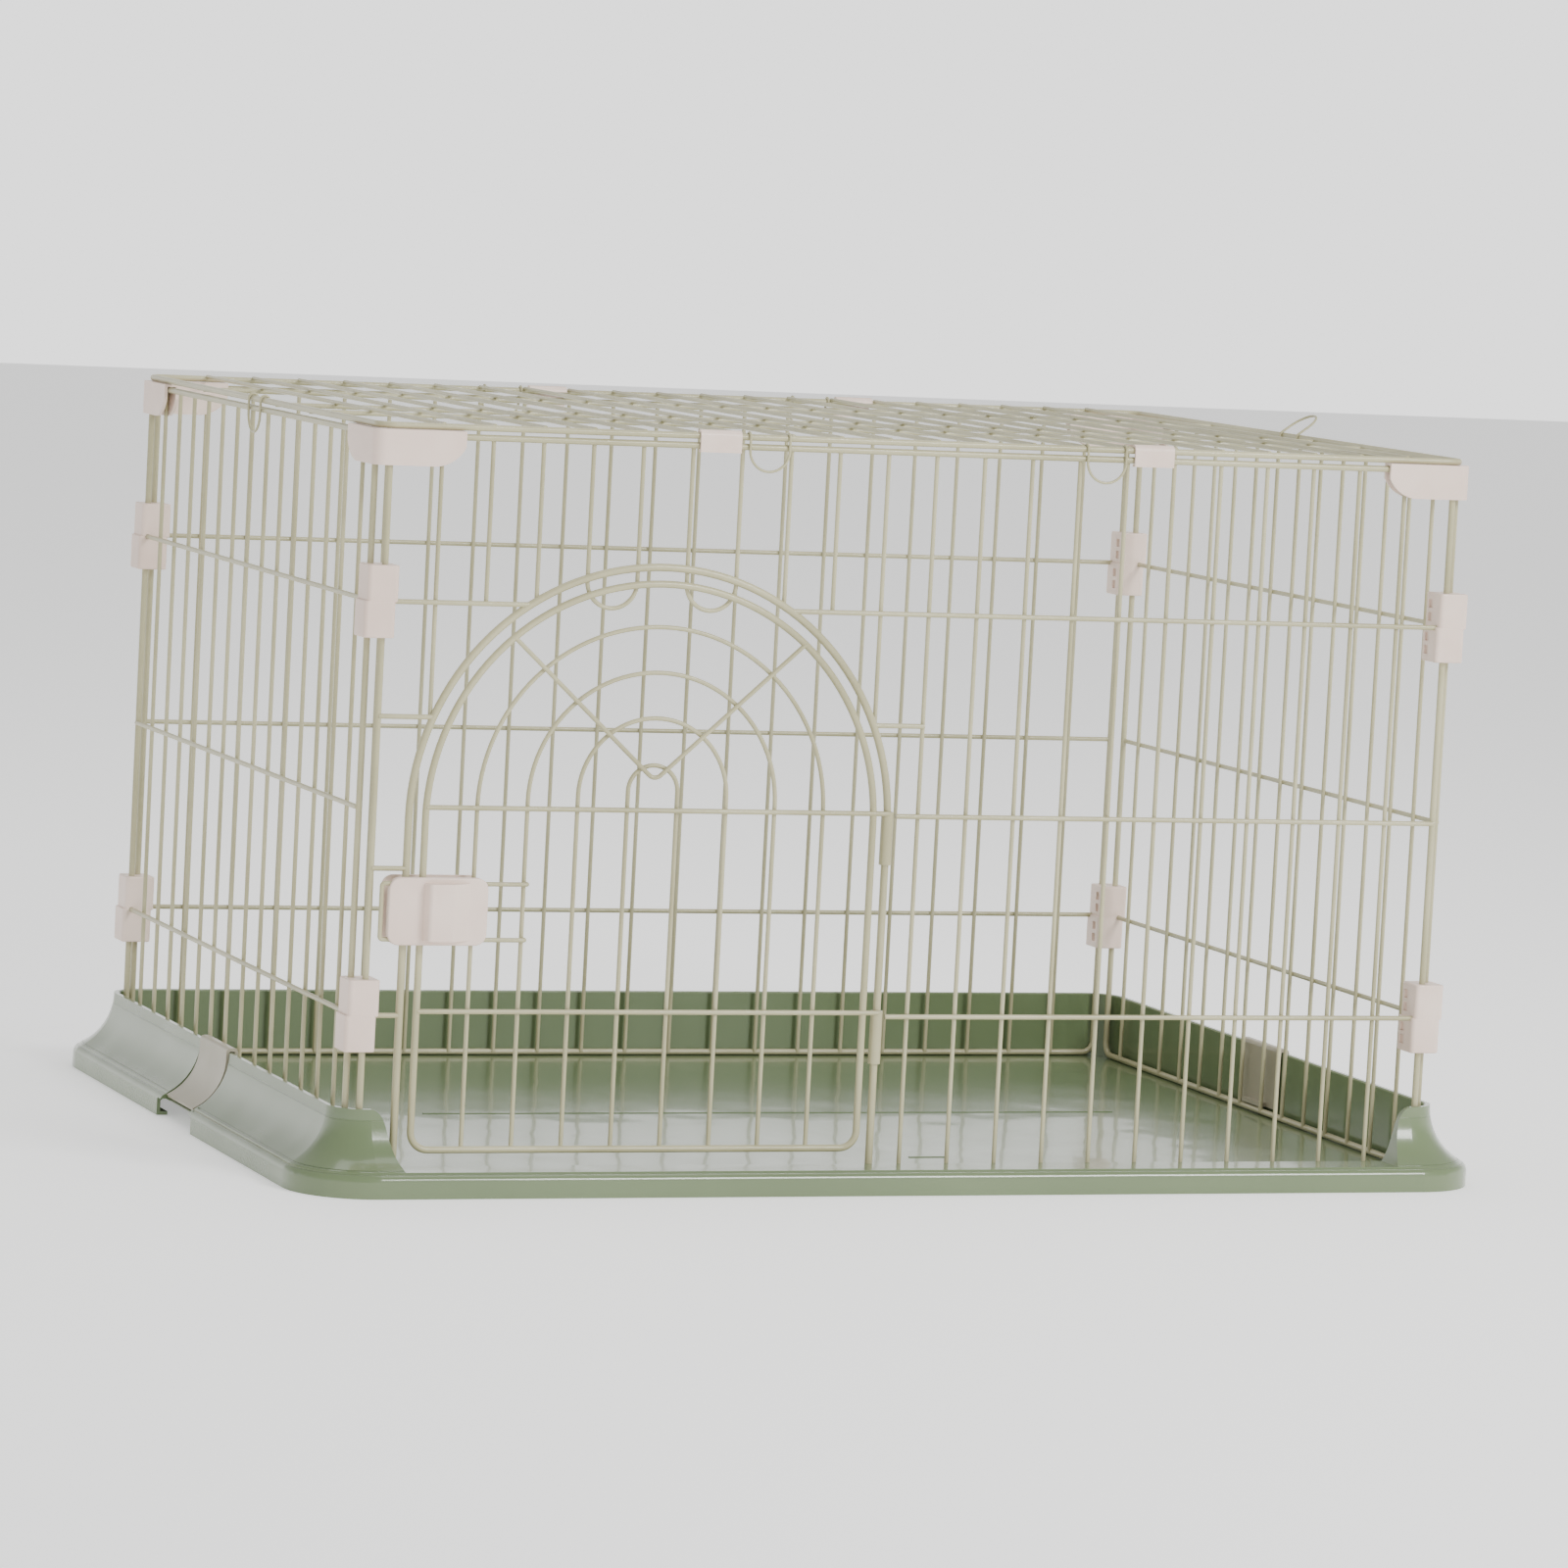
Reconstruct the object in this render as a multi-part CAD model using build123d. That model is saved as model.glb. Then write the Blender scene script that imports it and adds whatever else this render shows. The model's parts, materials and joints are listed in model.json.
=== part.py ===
"""Wire rabbit cage on a plastic tray.

Four welded wire panels stand in a moulded tray and are joined at the corners by
plastic clips and caps. A wire roof rests on the panels, turns on its back rail and
is held by wire hooks and snap clips. An arched door swings outward on the right leg
of its opening and is locked by a sliding latch. Two straps hold the cage down in
the tray.

Millimetres, +Z up. The origin is the middle of the tray's underside, +X runs along
the longest side and the door is in the -Y side.
"""
from build123d import *
import math
import os

# ---------------------------------------------------------------- wire sizes
FRAME_D = 4.4           # panel outlines and roof outline
ARCH_D = 5.2            # rod round the door opening
DOOR_D = 4.8            # door outline
CROSS_D = 3.4           # level wires
THIN_D = 3.0            # upright wires
HOOK_D = 1.8            # spring wire of the roof hooks
WELD = 0.4              # how far two welded wires sink into each other
CUT = 1.0               # how far a cutting shape passes the surface it cuts

# ------------------------------------------------------------ panel geometry
PITCH = 35.0            # spacing of the upright wires, front and back
FRONT_GAPS = 22         # spaces across the front and back panels
SIDE_PITCH = 37.0       # spacing of the upright wires, sides
SIDE_GAPS = 15          # spaces across a side panel
FRONT_POST = 386.3      # X of the end posts of the front and back panels
SIDE_POST = 272.5       # Y of the end posts of the side panels
FRONT_PLANE = 282.0     # distance of the front and back outlines from the middle
SIDE_PLANE = 393.4      # distance of the side outlines from the middle
RAIL_BOTTOM = 10.0      # height of the bottom rails
RAIL_TOP = 500.2        # height of the top rails
LEVELS = (117.3, 254.1, 391.2)
CORNER_R = 9.0          # bend of a panel outline at its corners
UPRIGHT_W = -1.6        # uprights lie inside the outline
LEVEL_W = UPRIGHT_W + THIN_D / 2 + CROSS_D / 2 - WELD  # level wires cross in front

# ---------------------------------------------------------------------- roof
ROOF_Z = 506.7          # height of the roof outline
ROOF_CROSS = (-120.0, -40.0, 140.0)
ROOF_CORNER_R = 10.0

# ---------------------------------------------------------------- door opening
ARCH_X = -192.5         # middle of the opening
ARCH_R = 169.5          # radius of the opening arch
ARCH_SPRING = 248.8     # height where the legs become the arch
ARCH_W = 0.6
STOP_LOOP_Z = 390.0     # bottom of the two loops that stop the door
STUBS = (315.5, 215.0, LEVELS[0])
RIGHT_STUB_X = 0.0
SLEEVE_AIR = 1.6        # between a hinge sleeve and the ends of the level wires
FIRST_RIGHT_COLUMN = 11                                  # columns count from the left post
ARCH_COLUMNS_LEFT = (1, 3)                               # these stand on the opening arch
LEVEL_COLUMN_LEFT = 2                                    # this one stands on the top level wire
ARCH_COLUMNS_RIGHT = (8, 10)
LEVEL_COLUMN_RIGHT = 9
LOOP_COLUMNS = (4, 6)

# ---------------------------------------------------------------------- door
DOOR_R = 158.5          # half width of the door, and radius of its arch
DOOR_W = 2.6            # the door outline stands this far in front of the panel
DOOR_BOTTOM = 27.7
DOOR_CORNER_R = 12.0
DOOR_BARS = (120.3, 256.0)
INNER_ARCH_TOPS = (378.5, 348.0, 317.5, 286.0)
SPOKE_BOTTOM = 276.0
SPOKE_ANGLE = 49.6      # degrees above the horizontal, seen from the arch centre
SPOKE_BEND_R = 6.0
SLEEVE_ABOVE = 1.0      # from the middle of a door bar to the sleeve's ends
SLEEVE_BELOW = 35.0
SLEEVE_IN_R = 3.0
SLEEVE_OUT_R = 4.2

# --------------------------------------------------------------------- latch
GUIDE_LOW = 168.6
GUIDE_HIGH = 205.8
GUIDE_D = 3.0
GUIDE_BEND_R = 2.0
GUIDE_CLOSED_X = -380.0
GUIDE_OPEN_X = -279.0
GUIDE_W = DOOR_W + DOOR_D / 2 + GUIDE_D / 2
LATCH_X = (-375.8, -307.0)
LATCH_Z = (165.0, 210.0)
LATCH_CORNER_R = 8.0
LATCH_FACE_R = 1.2      # rounding of the face's outer edge
LATCH_BACK_R = 1.0      # rounding of the keeper's outer edge
LATCH_FACE_W = (5.4, 10.2)
LATCH_BACK_W = (-10.2, -6.9)
LATCH_SPINE_X = (-346.5, -340.0)
LATCH_SPINE_Z = (173.5, 201.0)
LATCH_SPINE_SINK = 0.5  # how far the spine is moulded into the keeper
GROOVE_H = 3.8
GROOVE_W = 8.3
THUMB_X = (-352.0, -350.0, -333.0, -318.0)
THUMB_Z = (168.5, 206.5)
THUMB_W = 18.6
THUMB_SINK = 1.0        # how far the thumb piece is moulded into the face
THUMB_R = 3.0           # rounding of the thumb piece's crest

# ---------------------------------------------------------------- corner caps
CAP_ARM = 62.6          # length of each arm from the outer corner
CAP_WALL = 2.2
CAP_BOTTOM = 480.5
CAP_TOP = 504.2
CAP_PLATE = 1.6         # thickness of the top between the rails
CAP_GAP = 0.4           # air between cap and wire
CAP_END_Z = 494.8       # bottom edge at the end of an arm
CAP_CURVE = 20.0        # length over which the bottom edge rises
CAP_CORNER_R = 8.0
CAP_SWEEP = ((1.0, 0.1), (0.5, 1.0))                     # slopes of the bottom edge
CAP_OVERRUN = 0.5       # how far the bottom edge is drawn past the end of an arm

# --------------------------------------------------------------- corner clips
CLIP_OUT = 6.6          # from the panel planes to the clip's outer faces
CLIP_X = 21.6
CLIP_Y = 24.0
CLIP_H = 48.0
CLIP_EDGE_R = 3.0
CLIP_PLAY = 0.15
CLIP_GROOVE = 1.0
CLIP_STEP = 1.6         # the lower half sits this far to the left of the upper one
CLIP_WINDOW = 6.0
CLIP_WINDOW_DEPTH = 1.6
CLIP_WINDOW_EDGE = 5.0
CLIP_WINDOW_RISES = (-CLIP_H / 3, -CLIP_H / 7, CLIP_H / 7, CLIP_H / 3)

# ---------------------------------------------------------- roof hooks, clips
HOOK_EYE_R = 3.2        # bend of the eye round the rail
HOOK_HALF = 14.1
HOOK_DROP = 22.5
HOOK_EYE_END = 200.0    # degrees of rail that the eye wraps past the top
HOOK_UP_ANGLE = 125.0   # the right hook stands up, turned this far
HOOKS_FRONT_X = (-122.5, 122.5)
ROOF_CLIP_WIDTH = 29.0
ROOF_CLIP_WALL = 1.8
ROOF_CLIP_GAP = 0.25
ROOF_CLIP_LIP = 0.4
FRONT_CLIPS_X = (-157.5, 157.5)
BACK_CLIPS_X = (-87.5, 157.5)

# ---------------------------------------------------------------------- tray
WALL_X = 400.0          # inner faces of the side walls
WALL_Y = 285.5          # inner faces of the front and back walls
WALL_H = 55.5
WALL_T = 2.6
TRAY_CORNER_R = 20.0    # inside corners
FOOT = 32.0             # how far the skirt spreads at its foot
SKIRT = ((4.0, WALL_H), (11.0, 31.5), (27.0, 17.0))      # from the wall, height
RECESS = ((2.6, WALL_H), (8.6, 30.0), (24.6, 14.6))      # skirt under a strap
HOLLOW = ((3.0, 43.0), (7.6, 30.4), (24.6, 14.2))        # inside of the skirt
RECESS_HOLLOW = ((3.0, 34.0), (7.4, 25.5), (22.2, 11.8))
NOSE = ((27.6, 16.2), (30.6, 14.4), (FOOT, 11.0))
HOLLOW_STEP = 4.0       # height of the step where the hollow meets its rim
RIM_W = 8.0
FLOOR_TOP = 7.2
FLOOR_T = 3.0
LIP_H = 17.0            # the front is cut down to this height
TOWER_EDGE = ((361.5, LIP_H), (368.5, 36.0), (380.0, WALL_H))
TOWER_SWEEP = ((0.7, 1.0), (1.0, 0.25))                  # slopes at foot and crest
WALL_EDGE_R = 1.0
GROOVES = ((4.9, 48.0), (25.6, 17.7), (29.3, 15.6))      # lines pressed into the skirt
GROOVE_R = 0.55
RECESS_HALF = 36.0      # half width of the recess under a strap
NOTCH_HALF = 43.0       # half width of the notch that bares the strap's end
NOTCH_H = 12.6
RIB_H = 0.6
RIB_W = 2.0
RIBS = (((-250.0, 0.0), (281.0, 0.0)), ((40.0, -200.0), (70.0, -200.0)))

# --------------------------------------------------------------------- straps
STRAP_HALF = 33.0
STRAP_T = 2.4
STRAP = ((4.3, 50.0), (9.9, 30.9), (25.0, 16.6))         # middle line over the skirt
STRAP_CREST = 57.2
STRAP_BEND_R = 1.8
STRAP_LEG = -1.9        # middle line of the leg inside the wall
STRAP_LEG_END = 13.2
STRAP_TIP = (27.3, 15.3)
STRAP_NOSE = ((-0.8, -8.2), (13.2, 16.2))
STRAP_NOSE_HALF = 15.5

SIDES = {
    "front": Plane(origin=(0, -FRONT_PLANE, 0), x_dir=(1, 0, 0), z_dir=(0, -1, 0)),
    "back": Plane(origin=(0, FRONT_PLANE, 0), x_dir=(-1, 0, 0), z_dir=(0, 1, 0)),
    "left": Plane(origin=(-SIDE_PLANE, 0, 0), x_dir=(0, -1, 0), z_dir=(-1, 0, 0)),
    "right": Plane(origin=(SIDE_PLANE, 0, 0), x_dir=(0, 1, 0), z_dir=(1, 0, 0)),
}


# -------------------------------------------------------------------- helpers
def rod(start, end, diameter):
    """A straight round wire between two points."""
    axis = Vector(*end) - Vector(*start)
    base = Plane(origin=start, z_dir=axis)
    return base * Cylinder(diameter / 2, axis.length, align=(Align.CENTER, Align.CENTER, Align.MIN))


def bent_wire(path, diameter):
    """A round wire along a path."""
    return sweep(Plane(origin=path @ 0, z_dir=path % 0) * Circle(diameter / 2), path=path)


def box(x, y, z):
    """A block between the low and high values on each axis."""
    size = (x[1] - x[0], y[1] - y[0], z[1] - z[0])
    middle = ((x[0] + x[1]) / 2, (y[0] + y[1]) / 2, (z[0] + z[1]) / 2)
    return Pos(*middle) * Box(*size)


def outline(half_u, low, high, radius):
    """A closed rounded rectangle of wire in the local XY plane."""
    middle = (low + high) / 2
    shape = Pos(0, middle) * RectangleRounded(2 * half_u, high - low, radius)
    return bent_wire(shape.wire(), FRAME_D)


def upright(u, low=RAIL_BOTTOM, high=RAIL_TOP):
    return rod((u, low, UPRIGHT_W), (u, high, UPRIGHT_W), THIN_D)


def level(start, end, z):
    return rod((start, z, LEVEL_W), (end, z, LEVEL_W), CROSS_D)


def front_u(index):
    return (index - FRONT_GAPS / 2) * PITCH


def side_u(index):
    return (index - SIDE_GAPS / 2) * SIDE_PITCH


def arch_height(u):
    """Height of the opening arch above a point of its span."""
    return ARCH_SPRING + math.sqrt(ARCH_R**2 - (u - ARCH_X) ** 2)


def arch_reach(z):
    """Half width of the opening arch at a height."""
    return math.sqrt(ARCH_R**2 - max(z - ARCH_SPRING, 0) ** 2)


def save(name, shape):
    export_step(shape, os.path.join("parts", name + ".step"))


# --------------------------------------------------------------------- panels
def grille(half_u, columns):
    """A welded panel: outline, uprights and level wires."""
    frame = outline(half_u, RAIL_BOTTOM, RAIL_TOP, CORNER_R)
    uprights = [upright(u) for u in columns]
    levels = [level(-half_u, half_u, z) for z in LEVELS]
    return frame + uprights + levels


def make_plain_panels():
    side_columns = [side_u(i) for i in range(1, SIDE_GAPS)]
    back_columns = [front_u(i) for i in range(1, FRONT_GAPS)]
    side = grille(SIDE_POST, side_columns)
    save("left_panel", SIDES["left"] * side)
    save("right_panel", SIDES["right"] * side)
    save("back_panel", SIDES["back"] * grille(FRONT_POST, back_columns))


def opening_path():
    left = ARCH_X - ARCH_R
    right = ARCH_X + ARCH_R
    return Wire(
        [
            Edge.make_line((left, RAIL_BOTTOM, ARCH_W), (left, ARCH_SPRING, ARCH_W)),
            Edge.make_three_point_arc(
                (left, ARCH_SPRING, ARCH_W),
                (ARCH_X, ARCH_SPRING + ARCH_R, ARCH_W),
                (right, ARCH_SPRING, ARCH_W),
            ),
            Edge.make_line((right, ARCH_SPRING, ARCH_W), (right, RAIL_BOTTOM, ARCH_W)),
        ]
    )


def arch_upright(index):
    """An upright from the opening arch to the top rail."""
    return upright(front_u(index), low=arch_height(front_u(index)))


def stop_loop(left_u):
    """Two uprights made of one wire, bent in a U behind the top of the door."""
    radius = PITCH / 2
    turn = STOP_LOOP_Z + radius
    path = Wire(
        [
            Edge.make_line((left_u, RAIL_TOP, UPRIGHT_W), (left_u, turn, UPRIGHT_W)),
            Edge.make_three_point_arc(
                (left_u, turn, UPRIGHT_W),
                (left_u + radius, STOP_LOOP_Z, UPRIGHT_W),
                (left_u + PITCH, turn, UPRIGHT_W),
            ),
            Edge.make_line((left_u + PITCH, turn, UPRIGHT_W), (left_u + PITCH, RAIL_TOP, UPRIGHT_W)),
        ]
    )
    return bent_wire(path, THIN_D)


def make_front_panel():
    """The front is welded from an outline, the opening arch and groups of wires."""
    low, middle, high = LEVELS
    sleeve_side = ARCH_X + ARCH_R + SLEEVE_OUT_R + SLEEVE_AIR
    frame = outline(FRONT_POST, RAIL_BOTTOM, RAIL_TOP, CORNER_R)
    arch = bent_wire(opening_path(), ARCH_D) - frame

    right = Part() + [upright(front_u(i)) for i in range(FIRST_RIGHT_COLUMN, FRONT_GAPS)]
    right += [level(sleeve_side, FRONT_POST, z) for z in (low, middle, high)]
    right += level(ARCH_X + arch_reach(STUBS[0]), RIGHT_STUB_X, STUBS[0])

    top_left = Part() + [arch_upright(i) for i in ARCH_COLUMNS_LEFT]
    top_left += upright(front_u(LEVEL_COLUMN_LEFT), low=high - CROSS_D / 2)
    top_left += level(-FRONT_POST, ARCH_X - arch_reach(high), high)

    top_right = Part() + [arch_upright(i) for i in ARCH_COLUMNS_RIGHT]
    top_right += upright(front_u(LEVEL_COLUMN_RIGHT), low=high - CROSS_D / 2)
    top_right += level(ARCH_X + arch_reach(high), sleeve_side, high)

    loops = [stop_loop(front_u(i)) for i in LOOP_COLUMNS]
    stubs = [level(-FRONT_POST, ARCH_X - arch_reach(z), z) for z in STUBS]

    groups = {
        "front_frame": frame,
        "door_opening_arch": arch,
        "front_wires_right": right - frame - arch,
        "front_wires_top_left": top_left - frame - arch,
        "front_wires_top_right": top_right - frame - arch,
        "front_stop_loops": Compound(children=[loop - frame - arch for loop in loops]),
        "front_stub_wires": Compound(children=[stub - frame - arch for stub in stubs]),
    }
    for name, shape in groups.items():
        save(name, SIDES["front"] * shape)


# ----------------------------------------------------------------------- door
def door_outline_path():
    left = ARCH_X - DOOR_R
    right = ARCH_X + DOOR_R
    turn = DOOR_BOTTOM + DOOR_CORNER_R
    diagonal = DOOR_CORNER_R * (1 - math.sqrt(0.5))

    def at(u, z):
        return (u, z, DOOR_W)

    return Wire(
        [
            Edge.make_line(at(ARCH_X, DOOR_BOTTOM), at(left + DOOR_CORNER_R, DOOR_BOTTOM)),
            Edge.make_three_point_arc(
                at(left + DOOR_CORNER_R, DOOR_BOTTOM),
                at(left + diagonal, DOOR_BOTTOM + diagonal),
                at(left, turn),
            ),
            Edge.make_line(at(left, turn), at(left, ARCH_SPRING)),
            Edge.make_three_point_arc(
                at(left, ARCH_SPRING), at(ARCH_X, ARCH_SPRING + DOOR_R), at(right, ARCH_SPRING)
            ),
            Edge.make_line(at(right, ARCH_SPRING), at(right, turn)),
            Edge.make_three_point_arc(
                at(right, turn),
                at(right - diagonal, DOOR_BOTTOM + diagonal),
                at(right - DOOR_CORNER_R, DOOR_BOTTOM),
            ),
            Edge.make_line(at(right - DOOR_CORNER_R, DOOR_BOTTOM), at(ARCH_X, DOOR_BOTTOM)),
        ]
    )


def inner_arch(half, top):
    """One upright, an arch and the next upright, bent from one thin wire."""
    w = DOOR_W + UPRIGHT_W
    spring = top - half
    path = Wire(
        [
            Edge.make_line((ARCH_X - half, DOOR_BOTTOM, w), (ARCH_X - half, spring, w)),
            Edge.make_three_point_arc(
                (ARCH_X - half, spring, w), (ARCH_X, top, w), (ARCH_X + half, spring, w)
            ),
            Edge.make_line((ARCH_X + half, spring, w), (ARCH_X + half, DOOR_BOTTOM, w)),
        ]
    )
    return bent_wire(path, THIN_D)


def make_door():
    w = DOOR_W + LEVEL_W
    hinge_u = ARCH_X + ARCH_R
    angle = math.radians(SPOKE_ANGLE)
    tip = (DOOR_R * math.cos(angle), ARCH_SPRING + DOOR_R * math.sin(angle))
    spokes = FilletPolyline(
        (ARCH_X - tip[0], tip[1], w),
        (ARCH_X, SPOKE_BOTTOM, w),
        (ARCH_X + tip[0], tip[1], w),
        radius=SPOKE_BEND_R,
    )
    count = len(INNER_ARCH_TOPS)
    halves = [PITCH * (count - i - 0.5) for i in range(count)]
    bars = [rod((ARCH_X - DOOR_R, z, w), (hinge_u, z, w), CROSS_D) for z in DOOR_BARS]
    sleeves = [
        rod((hinge_u, z + SLEEVE_ABOVE, ARCH_W), (hinge_u, z - SLEEVE_BELOW, ARCH_W), 2 * SLEEVE_OUT_R)
        for z in DOOR_BARS
    ]
    door = bent_wire(door_outline_path(), DOOR_D)
    door += [inner_arch(half, top) for half, top in zip(halves, INNER_ARCH_TOPS)]
    door += [bent_wire(spokes.wire(), THIN_D)] + bars + sleeves
    bore = rod((hinge_u, 0, ARCH_W), (hinge_u, RAIL_TOP, ARCH_W), 2 * SLEEVE_IN_R)
    save("door", SIDES["front"] * (door - bore))


def make_latch():
    w = DOOR_W + UPRIGHT_W + THIN_D / 2
    guide = FilletPolyline(
        (GUIDE_OPEN_X, GUIDE_LOW, w),
        (GUIDE_OPEN_X, GUIDE_LOW, GUIDE_W),
        (GUIDE_CLOSED_X, GUIDE_LOW, GUIDE_W),
        (GUIDE_CLOSED_X, GUIDE_HIGH, GUIDE_W),
        (GUIDE_OPEN_X, GUIDE_HIGH, GUIDE_W),
        (GUIDE_OPEN_X, GUIDE_HIGH, w),
        radius=GUIDE_BEND_R,
    )
    save("latch_guide", SIDES["front"] * bent_wire(guide.wire(), GUIDE_D))

    def plate(depth):
        middle = (sum(LATCH_X) / 2, sum(LATCH_Z) / 2)
        sketch = Pos(*middle) * RectangleRounded(
            LATCH_X[1] - LATCH_X[0], LATCH_Z[1] - LATCH_Z[0], LATCH_CORNER_R
        )
        return Pos(0, 0, depth[0]) * extrude(sketch, depth[1] - depth[0])

    face = plate(LATCH_FACE_W)
    face = fillet(face.faces().sort_by(Axis.Z)[-1].edges(), LATCH_FACE_R)
    x0, x1, x2, x3 = THUMB_X
    top = LATCH_FACE_W[1] - THUMB_SINK
    profile = Polyline((x0, top), (x1, THUMB_W), (x2, THUMB_W), (x3, top), close=True)
    wedge = Plane.XZ * make_face(profile)
    thumb = Pos(0, THUMB_Z[1], 0) * extrude(wedge, THUMB_Z[1] - THUMB_Z[0])
    thumb = fillet(thumb.edges().filter_by(Axis.Y).sort_by(Axis.Z)[-2:], THUMB_R)
    face += thumb
    for z in (GUIDE_LOW, GUIDE_HIGH):
        face -= box(
            (LATCH_X[0] - CUT, LATCH_X[1] + CUT), (z - GROOVE_H / 2, z + GROOVE_H / 2), (0, GROOVE_W)
        )
    save("latch_slider", SIDES["front"] * face)

    back = plate(LATCH_BACK_W)
    back = fillet(back.faces().sort_by(Axis.Z)[0].edges(), LATCH_BACK_R)
    back += box(LATCH_SPINE_X, LATCH_SPINE_Z, (LATCH_BACK_W[1] - LATCH_SPINE_SINK, LATCH_FACE_W[0]))
    save("latch_keeper", SIDES["front"] * back)


# ----------------------------------------------------------------------- roof
def make_roof():
    frame = Pos(0, 0, ROOF_Z) * bent_wire(
        RectangleRounded(2 * SIDE_PLANE, 2 * FRONT_PLANE, ROOF_CORNER_R).wire(), FRAME_D
    )
    depth_z = ROOF_Z - UPRIGHT_W
    cross_z = depth_z - THIN_D / 2 - CROSS_D / 2 + WELD
    columns = [front_u(i) for i in range(1, FRONT_GAPS)]
    depth_wires = [rod((u, -FRONT_PLANE, depth_z), (u, FRONT_PLANE, depth_z), THIN_D) for u in columns]
    cross_wires = [rod((-SIDE_PLANE, y, cross_z), (SIDE_PLANE, y, cross_z), CROSS_D) for y in ROOF_CROSS]
    save("roof_panel", frame + depth_wires + cross_wires)


def roof_hook():
    """A U of spring wire with an eye at each end, round a rail along local X."""

    def eye(u):
        return Edge.make_circle(
            HOOK_EYE_R,
            plane=Plane(origin=(u, 0, 0), x_dir=(0, 0, 1), z_dir=(-1, 0, 0)),
            start_angle=0,
            end_angle=HOOK_EYE_END,
        )

    turn = -HOOK_DROP + HOOK_HALF
    left = eye(-HOOK_HALF)
    right = eye(HOOK_HALF)
    loop = Wire(
        [
            Edge.make_line((-HOOK_HALF, 0, HOOK_EYE_R), (-HOOK_HALF, turn, HOOK_EYE_R)),
            Edge.make_three_point_arc(
                (-HOOK_HALF, turn, HOOK_EYE_R),
                (0, -HOOK_DROP, HOOK_EYE_R),
                (HOOK_HALF, turn, HOOK_EYE_R),
            ),
            Edge.make_line((HOOK_HALF, turn, HOOK_EYE_R), (HOOK_HALF, 0, HOOK_EYE_R)),
        ]
    )
    eyes = [bent_wire(Wire([left]), HOOK_D), bent_wire(Wire([right]), HOOK_D)]
    return bent_wire(loop, HOOK_D) + eyes


def roof_clip():
    """A snap clip that wraps the roof rail and reaches under the panel rail below it."""
    drop = ROOF_Z - RAIL_TOP
    rail = FRAME_D / 2
    inner = rail + ROOF_CLIP_GAP
    outer = inner + ROOF_CLIP_WALL
    low = -drop - inner
    section = Circle(outer) + Pos(outer / 2, (low - ROOF_CLIP_WALL) / 2) * Rectangle(
        outer, ROOF_CLIP_WALL - low
    )
    section -= Circle(inner)
    section -= Pos(0, low / 2) * Rectangle(2 * inner, -low)
    section -= Pos(-outer / 2 - ROOF_CLIP_LIP, (low - ROOF_CLIP_WALL) / 2 - CUT) * Rectangle(
        outer, -low + ROOF_CLIP_WALL + 2 * CUT
    )
    solid = extrude(section, ROOF_CLIP_WIDTH / 2, both=True)
    return Plane(origin=(0, 0, 0), x_dir=(0, 0, 1), z_dir=(-1, 0, 0)) * solid


def on_rail(side, u):
    """Local frame of a roof rail: X along it, Y up, Z outward."""
    return SIDES[side] * Pos(u, ROOF_Z, 0)


def make_roof_fittings():
    hook = roof_hook()
    clip = roof_clip()
    for name, u in zip(("left", "right"), HOOKS_FRONT_X):
        save("roof_hook_front_" + name, on_rail("front", u) * hook)
        save("roof_hook_back_" + name, on_rail("back", -u) * hook)
    save("roof_hook_left_side", on_rail("left", 0) * hook)
    save("roof_hook_right_side", on_rail("right", 0) * Rot(-HOOK_UP_ANGLE, 0, 0) * hook)
    for name, u in zip(("left", "right"), FRONT_CLIPS_X):
        save("roof_clip_front_" + name, on_rail("front", u) * clip)
    for name, u in zip(("left", "right"), BACK_CLIPS_X):
        save("roof_clip_back_" + name, on_rail("back", -u) * clip)


# ---------------------------------------------------------------- corner parts
def make_corner_caps():
    """L-shaped covers over the tops of two panels, open underneath."""
    rail = FRAME_D / 2
    out_x = SIDE_PLANE + rail + CAP_GAP + CAP_WALL
    out_y = FRONT_PLANE + rail + CAP_GAP + CAP_WALL
    inside = rail + CAP_GAP + CAP_WALL - UPRIGHT_W + THIN_D / 2 + CAP_GAP + CAP_WALL
    height = CAP_TOP - CAP_BOTTOM

    def bend(offset, width):
        """An L along the two outer faces, this far in and this wide."""
        arm_x = box((offset, CAP_ARM), (offset, offset + width), (0, height))
        arm_y = box((offset, offset + width), (offset, CAP_ARM), (0, height))
        return arm_x + arm_y

    def outer_corner(shape):
        """The upright edge nearest the cage's corner."""
        edges = shape.edges().filter_by(Axis.Z)
        return edges.sort_by(lambda edge: edge.center().X + edge.center().Y)[0]

    body = bend(0, inside)
    body = fillet(outer_corner(body), CAP_CORNER_R)
    channel = bend(CAP_WALL, inside - 2 * CAP_WALL)
    channel = fillet(outer_corner(channel), CAP_CORNER_R - CAP_WALL)
    body -= Pos(0, 0, -CAP_PLATE) * channel
    rise = CAP_END_Z - CAP_BOTTOM
    start = CAP_ARM - CAP_CURVE
    end = CAP_ARM + CAP_OVERRUN
    cut = make_face(
        [
            Line((start, -CUT), (start, 0)),
            Spline((start, 0), (end, rise), tangents=CAP_SWEEP),
            Line((end, rise), (end, -CUT)),
            Line((end, -CUT), (start, -CUT)),
        ]
    )
    along_x = Pos(0, inside + CUT, 0) * extrude(Plane.XZ * cut, inside + 2 * CUT)
    along_y = Pos(-CUT, 0, 0) * extrude(Plane.YZ * cut, inside + 2 * CUT)
    cap = body - along_x - along_y
    corner = Pos(-out_x, -out_y, CAP_BOTTOM) * cap
    save("corner_cap_front_left", corner)
    save("corner_cap_front_right", mirror(corner, about=Plane.YZ))
    save("corner_cap_back_left", mirror(corner, about=Plane.XZ))
    save("corner_cap_back_right", mirror(mirror(corner, about=Plane.YZ), about=Plane.XZ))


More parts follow.
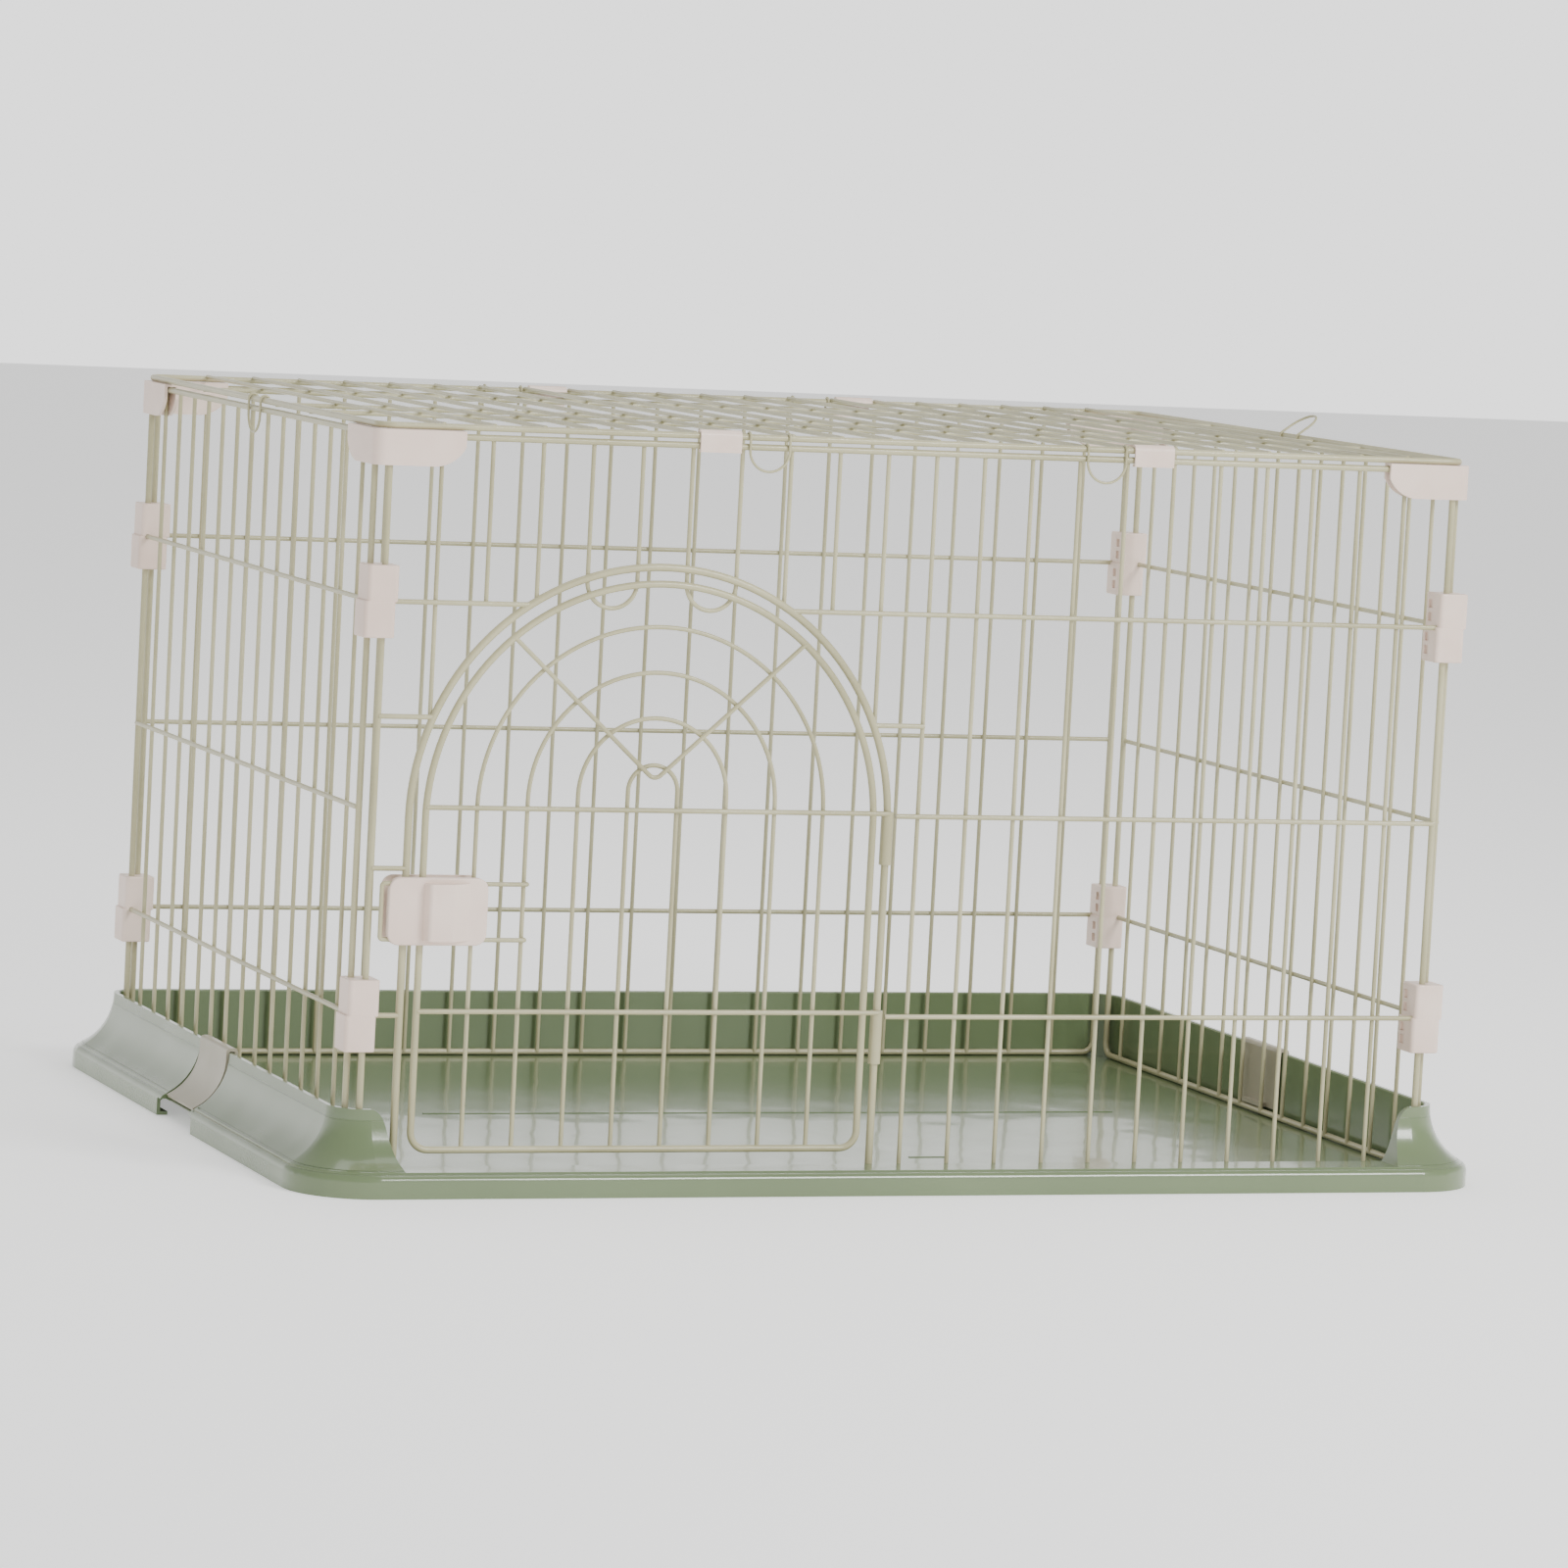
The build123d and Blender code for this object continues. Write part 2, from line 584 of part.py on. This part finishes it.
def corner_clip(z, side):
    """A block with a bore for each post of the front corner on this side (-1 left, 1 right)."""
    out_x = side * (SIDE_PLANE + CLIP_OUT)
    inner_x = out_x - side * CLIP_X
    y0 = -FRONT_PLANE - CLIP_OUT
    y1 = y0 + CLIP_Y
    x0, x1 = sorted((out_x, inner_x))

    def half_block(low, high, shift):
        block = box((x0 + shift, x1 + shift), (y0, y1), (low, high))
        block = fillet(block.edges().filter_by(Axis.Z), CLIP_EDGE_R)
        return fillet(block.faces().filter_by(Axis.Z).edges(), CLIP_GROOVE)

    block = half_block(z - CLIP_GROOVE / 2, z + CLIP_H / 2, CLIP_STEP / 2)
    block += half_block(z - CLIP_H / 2, z + CLIP_GROOVE / 2, -CLIP_STEP / 2)
    post_d = FRAME_D + 2 * CLIP_PLAY
    level_d = CROSS_D + 2 * CLIP_PLAY
    for x, y in ((side * FRONT_POST, -FRONT_PLANE), (side * SIDE_PLANE, -SIDE_POST)):
        block -= rod((x, y, z - CLIP_H), (x, y, z + CLIP_H), post_d)
    level_y = -FRONT_PLANE - LEVEL_W
    level_x = side * (SIDE_PLANE + LEVEL_W)
    level_start = side * (FRONT_POST + CLIP_PLAY)
    level_end = inner_x - side * CLIP_X
    block -= rod((level_start, level_y, z), (level_end, level_y, z), level_d)
    block -= rod((level_x, -SIDE_POST - CLIP_PLAY, z), (level_x, y1 + CLIP_Y, z), level_d)
    half = CLIP_WINDOW / 2
    for rise in CLIP_WINDOW_RISES:
        spot = z + rise
        shift = math.copysign(CLIP_STEP / 2, rise)
        floor = inner_x + shift + side * CLIP_WINDOW_DEPTH
        block -= box(
            sorted((floor, inner_x - side * CLIP_X)),
            (y1 - CLIP_WINDOW_EDGE - CLIP_WINDOW, y1 - CLIP_WINDOW_EDGE),
            (spot - half, spot + half),
        )
    return block


def make_corner_clips():
    for name, z in (("lower", LEVELS[0]), ("upper", LEVELS[2])):
        for side_name, side in (("left", -1), ("right", 1)):
            clip = corner_clip(z, side)
            save("corner_clip_front_" + side_name + "_" + name, clip)
            save("corner_clip_back_" + side_name + "_" + name, mirror(clip, about=Plane.XZ))


# ----------------------------------------------------------------------- tray
def skirt_section(curve):
    """Wall and skirt in one solid section, measured from the inner wall face."""
    top, waist, ledge = curve
    nose = [(d - SKIRT[2][0] + ledge[0], z - SKIRT[2][1] + ledge[1]) for d, z in NOSE]
    return make_face(
        [
            Line((0, 0), (0, WALL_H - WALL_EDGE_R)),
            Line((0, WALL_H - WALL_EDGE_R), (WALL_EDGE_R, WALL_H)),
            Line((WALL_EDGE_R, WALL_H), top),
            ThreePointArc(top, waist, ledge),
            Line(ledge, nose[0]),
            ThreePointArc(*nose),
            Line(nose[2], (nose[2][0], 0)),
            Line((nose[2][0], 0), (0, 0)),
        ]
    )


def hollow_section(curve):
    """The space under the skirt, closed below by the rim."""
    top, waist, ledge = curve
    band = FOOT - WALL_T - HOLLOW[2][0] + ledge[0]
    return make_face(
        [
            Line((WALL_T, -CUT), (WALL_T, top[1])),
            Line((WALL_T, top[1]), top),
            ThreePointArc(top, waist, ledge),
            Line(ledge, (band, ledge[1] - HOLLOW_STEP)),
            Line((band, ledge[1] - HOLLOW_STEP), (band, WALL_T)),
            Line((band, WALL_T), (FOOT - RIM_W, WALL_T)),
            Line((FOOT - RIM_W, WALL_T), (FOOT - RIM_W, -CUT)),
            Line((FOOT - RIM_W, -CUT), (WALL_T, -CUT)),
        ]
    )


def ring(section):
    """Carry a section round the inner wall face."""
    spot = Plane(origin=(WALL_X, 0, 0), x_dir=(1, 0, 0), z_dir=(0, -1, 0))
    side = extrude(spot * section, WALL_Y - TRAY_CORNER_R, both=True)
    end_spot = Plane(origin=(0, WALL_Y, 0), x_dir=(0, 1, 0), z_dir=(1, 0, 0))
    end = extrude(end_spot * section, WALL_X - TRAY_CORNER_R, both=True)
    axis = Axis((WALL_X - TRAY_CORNER_R, WALL_Y - TRAY_CORNER_R, 0), (0, 0, 1))
    corner_spot = Plane(origin=(WALL_X, WALL_Y - TRAY_CORNER_R, 0), x_dir=(1, 0, 0), z_dir=(0, -1, 0))
    corner = revolve(corner_spot * section, axis=axis, revolution_arc=90)
    half = side + end + corner + mirror(corner, about=Plane.XZ)
    return half + mirror(half, about=Plane.YZ) + mirror(end, about=Plane.XZ)


def front_cut(margin=0.0):
    """The opening in the front wall between the two corner towers."""
    foot, waist, crest = [(x + margin, z - margin) for x, z in TOWER_EDGE]
    start, end = TOWER_SWEEP
    far = (crest[0] + end[0] * 2 * FOOT, crest[1] + end[1] * 2 * FOOT)
    sketch = make_face(
        [
            Line((0, foot[1]), foot),
            Spline(foot, waist, crest, tangents=[start, end]),
            Line(crest, far),
            Line(far, (0, far[1])),
            Line((0, far[1]), (0, foot[1])),
        ]
    )
    spot = Plane(origin=(0, -WALL_Y + TRAY_CORNER_R, 0), x_dir=(1, 0, 0), z_dir=(0, -1, 0))
    half = extrude(spot * sketch, TRAY_CORNER_R + 2 * FOOT)
    return half + mirror(half, about=Plane.YZ)


def make_tray():
    shell = ring(skirt_section(SKIRT))
    recess = ring(skirt_section(RECESS))
    reach = WALL_X + FOOT + CUT
    backed = RECESS_HALF + WALL_T
    recess_zone = box((-reach, reach), (-RECESS_HALF, RECESS_HALF), (-CUT, WALL_H + CUT))
    backed_zone = box((-reach, reach), (-backed, backed), (-2 * CUT, WALL_H + CUT))
    outer = (shell - recess_zone) + (recess & recess_zone)
    outer -= front_cut()
    hollow = ring(hollow_section(HOLLOW)) - backed_zone
    hollow += ring(hollow_section(RECESS_HOLLOW)) & backed_zone
    hollow -= front_cut(WALL_T)
    tray = outer - hollow
    for spot in GROOVES:
        tray -= ring(Pos(*spot) * Circle(GROOVE_R)) - backed_zone
    notch_y = (-NOTCH_HALF, NOTCH_HALF)
    notch_z = (-CUT, NOTCH_H)
    between_walls = box((-WALL_X - WALL_T, WALL_X + WALL_T), notch_y, notch_z)
    tray -= box((-reach, reach), notch_y, notch_z) - between_walls
    floor = RectangleRounded(2 * WALL_X + WALL_T, 2 * WALL_Y + WALL_T, TRAY_CORNER_R + WALL_T / 2)
    tray -= extrude(floor, FLOOR_TOP - FLOOR_T)
    tray += Pos(0, 0, FLOOR_TOP - FLOOR_T) * extrude(floor, FLOOR_T)
    for start, end in RIBS:
        middle = ((start[0] + end[0]) / 2, start[1], FLOOR_TOP)
        rib = SlotOverall(end[0] - start[0], RIB_W)
        tray += Pos(*middle) * extrude(rib, RIB_H)
    save("base_tray", tray)


def make_straps():
    """Springy straps over the side walls; the nose inside bears on the bottom rail."""
    top, waist, ledge = STRAP
    over = FilletPolyline(
        top,
        (top[0], STRAP_CREST),
        (STRAP_LEG, STRAP_CREST),
        (STRAP_LEG, STRAP_LEG_END),
        radius=STRAP_BEND_R,
    )
    line = Wire([Line(STRAP_TIP, ledge), ThreePointArc(ledge, waist, top)] + over.edges())
    spot = Plane(origin=(WALL_X, 0, 0), x_dir=(1, 0, 0), z_dir=(0, -1, 0))
    strap = extrude(spot * trace(line, STRAP_T), STRAP_HALF, both=True)
    nose_d, nose_z = STRAP_NOSE
    nose_x = (WALL_X + nose_d[1], WALL_X + nose_d[0] - STRAP_T / 2)
    strap += box(nose_x, (-STRAP_NOSE_HALF, STRAP_NOSE_HALF), nose_z)
    save("tray_lock_right", strap)
    save("tray_lock_left", mirror(strap, about=Plane.YZ))


def main():
    os.makedirs("parts", exist_ok=True)
    make_plain_panels()
    make_front_panel()
    make_door()
    make_latch()
    make_roof()
    make_roof_fittings()
    make_corner_caps()
    make_corner_clips()
    make_tray()
    make_straps()


if __name__ == "__main__":
    main()
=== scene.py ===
import json

import bpy
from mathutils import Matrix, Vector

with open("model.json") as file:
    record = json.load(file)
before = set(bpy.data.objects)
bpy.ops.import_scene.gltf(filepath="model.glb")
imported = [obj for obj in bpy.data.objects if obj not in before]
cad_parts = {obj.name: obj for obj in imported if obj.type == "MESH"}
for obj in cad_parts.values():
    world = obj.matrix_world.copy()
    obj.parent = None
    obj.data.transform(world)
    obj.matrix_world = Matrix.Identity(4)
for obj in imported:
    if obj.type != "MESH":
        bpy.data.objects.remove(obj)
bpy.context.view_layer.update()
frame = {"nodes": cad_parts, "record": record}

# ------------------------------------------------------------------ materials
WIRE = (0.47, 0.44, 0.27)
WIRE_WORN = (0.36, 0.335, 0.19)
SAGE = (0.120, 0.165, 0.078)
SAGE_PALE = (0.145, 0.195, 0.096)
CREAM = (0.72, 0.56, 0.47)
CREAM_PALE = (0.82, 0.67, 0.58)
STRAP = (0.32, 0.29, 0.21)
STRAP_PALE = (0.39, 0.36, 0.27)
HORIZON = 1.9           # brightness of the surroundings at eye level
ZENITH = 0.6            # and overhead
SKY_FALL = (0.10, 0.45)                 # height over which one becomes the other

IOR = 1.49
COAT_ROUGHNESS = 0.06
TONE_RANGE = (0.35, 0.65)               # noise values that become all dark, all pale
GLOSS_SCALE = 3.1       # gloss patches are this many times finer than tone patches
GRAIN_HEIGHT = 0.0004
SWELL_SCALE = 14.0
SWELL_HEIGHT = 0.004

FLOOR_SIZE = 24
FLOOR_CUTS = 8
FLOOR_COLOUR = (0.96, 0.96, 0.955)
FLOOR_ROUGHNESS = 0.75
FLOOR_GLOW = 0.45


def noise(nodes, links, place, scale, detail):
    """A noise texture in the object's own coordinates."""
    texture = nodes.new("ShaderNodeTexNoise")
    texture.inputs["Scale"].default_value = scale
    texture.inputs["Detail"].default_value = detail
    links.new(place.outputs["Object"], texture.inputs["Vector"])
    return texture


def relief(nodes, links, texture, strength, distance):
    """A bump driven by a noise texture."""
    bump = nodes.new("ShaderNodeBump")
    bump.inputs["Strength"].default_value = strength
    bump.inputs["Distance"].default_value = distance
    links.new(texture.outputs["Fac"], bump.inputs["Height"])
    return bump


def material(
    name, dark, pale, roughness, coat, tone_scale, grain_scale, grain, spread=0.08, swell=0.0
):
    """A moulded or coated surface: patchy tone, uneven gloss, fine grain and a slow swell."""
    mat = bpy.data.materials.new(name)
    mat.use_nodes = True
    nodes = mat.node_tree.nodes
    links = mat.node_tree.links
    shader = nodes["Principled BSDF"]
    shader.inputs["IOR"].default_value = IOR
    shader.inputs["Coat Weight"].default_value = coat
    shader.inputs["Coat Roughness"].default_value = COAT_ROUGHNESS
    place = nodes.new("ShaderNodeTexCoord")

    tone = noise(nodes, links, place, tone_scale, 5.0)
    mix = nodes.new("ShaderNodeMix")
    mix.data_type = "RGBA"
    mix.inputs[6].default_value = (*dark, 1)
    mix.inputs[7].default_value = (*pale, 1)
    ramp = nodes.new("ShaderNodeMapRange")
    ramp.inputs["From Min"].default_value = TONE_RANGE[0]
    ramp.inputs["From Max"].default_value = TONE_RANGE[1]
    links.new(tone.outputs["Fac"], ramp.inputs["Value"])
    links.new(ramp.outputs["Result"], mix.inputs[0])
    links.new(mix.outputs[2], shader.inputs["Base Color"])

    gloss = noise(nodes, links, place, tone_scale * GLOSS_SCALE, 3.0)
    rough = nodes.new("ShaderNodeMapRange")
    rough.inputs["To Min"].default_value = roughness - spread
    rough.inputs["To Max"].default_value = roughness + spread
    links.new(gloss.outputs["Fac"], rough.inputs["Value"])
    links.new(rough.outputs["Result"], shader.inputs["Roughness"])

    fine = noise(nodes, links, place, grain_scale, 4.0)
    bump = relief(nodes, links, fine, grain, GRAIN_HEIGHT)
    slow = noise(nodes, links, place, SWELL_SCALE, 1.0)
    wave = relief(nodes, links, slow, swell, SWELL_HEIGHT)
    links.new(wave.outputs["Normal"], bump.inputs["Normal"])
    links.new(bump.outputs["Normal"], shader.inputs["Normal"])
    links.new(wave.outputs["Normal"], shader.inputs["Coat Normal"])
    return mat


wire_coat = material("wire_coat", WIRE_WORN, WIRE, 0.36, 0.25, 9.0, 900.0, 0.18)
tray_plastic = material("tray_plastic_look", SAGE, SAGE_PALE, 0.22, 0.35, 3.0, 500.0, 0.08, 0.05, 0.25)
pale_plastic = material("pale_plastic", CREAM, CREAM_PALE, 0.42, 0.10, 14.0, 1300.0, 0.30)
strap_plastic = material("strap_plastic", STRAP, STRAP_PALE, 0.40, 0.15, 14.0, 1300.0, 0.30)

LOOKS = {
    "tray_plastic": tray_plastic,
    "lock_plastic": strap_plastic,
    "panel_wire": wire_coat,
    "door_wire": wire_coat,
    "hook_wire": wire_coat,
    "cap_plastic": pale_plastic,
    "clip_plastic": pale_plastic,
    "latch_plastic": pale_plastic,
}
slots = {part["node"]: part["material_slot"] for part in frame["record"]["subparts"]}
for name, node in frame["nodes"].items():
    node.data.materials.clear()
    node.data.materials.append(LOOKS[slots[name]])

# ---------------------------------------------------------------------- stage
bpy.ops.mesh.primitive_grid_add(
    x_subdivisions=FLOOR_CUTS, y_subdivisions=FLOOR_CUTS, size=FLOOR_SIZE
)
floor = bpy.context.object
floor.name = "floor"
floor_look = bpy.data.materials.new("floor_look")
floor_look.use_nodes = True
floor_shader = floor_look.node_tree.nodes["Principled BSDF"]
floor_shader.inputs["Base Color"].default_value = (*FLOOR_COLOUR, 1)
floor_shader.inputs["Roughness"].default_value = FLOOR_ROUGHNESS
floor_shader.inputs["Emission Color"].default_value = (1.0, 1.0, 1.0, 1)
floor_shader.inputs["Emission Strength"].default_value = FLOOR_GLOW
floor.data.materials.append(floor_look)

world = bpy.data.worlds.new("studio")
bpy.context.scene.world = world
world.use_nodes = True
sky = world.node_tree
backdrop = sky.nodes["Background"]
backdrop.inputs["Color"].default_value = (1.0, 1.0, 1.0, 1)
direction = sky.nodes.new("ShaderNodeTexCoord")
axes = sky.nodes.new("ShaderNodeSeparateXYZ")
sky.links.new(direction.outputs["Generated"], axes.inputs[0])
fall = sky.nodes.new("ShaderNodeMapRange")
fall.interpolation_type = "SMOOTHSTEP"
fall.inputs["From Min"].default_value = SKY_FALL[0]
fall.inputs["From Max"].default_value = SKY_FALL[1]
fall.inputs["To Min"].default_value = HORIZON
fall.inputs["To Max"].default_value = ZENITH
sky.links.new(axes.outputs["Z"], fall.inputs["Value"])
sky.links.new(fall.outputs["Result"], backdrop.inputs["Strength"])


def lamp(name, place, aim, energy, size):
    data = bpy.data.lights.new(name, "AREA")
    data.energy = energy
    data.shape = "RECTANGLE"
    data.size = size[0]
    data.size_y = size[1]
    lit = bpy.data.objects.new(name, data)
    bpy.context.scene.collection.objects.link(lit)
    lit.location = place
    lit.rotation_euler = (Vector(aim) - Vector(place)).to_track_quat("-Z", "Y").to_euler()


lamp("key", (1.6, -3.2, 2.4), (0, 0, 0.2), 130, (1.4, 1.0))
lamp("top", (0.2, 0.4, 3.2), (0, 0, 0), 40, (2.6, 2.0))

# --------------------------------------------------------------------- camera
EYE = Vector((-1.7439, -4.5589, 0.7247))
AHEAD = Vector((0.35730, 0.92886, -0.09771)).normalized()
RIGHT = Vector((0.93387, -0.35365, 0.05305))
RIGHT = (RIGHT - AHEAD * RIGHT.dot(AHEAD)).normalized()
ABOVE = RIGHT.cross(AHEAD)
lens = bpy.data.cameras.new("camera")
lens.lens = 157.4
lens.sensor_width = 36.0
camera = bpy.data.objects.new("camera", lens)
bpy.context.scene.collection.objects.link(camera)
turn = Matrix((RIGHT, ABOVE, -AHEAD)).transposed().to_4x4()
camera.matrix_world = Matrix.Translation(EYE) @ turn
bpy.context.scene.camera = camera
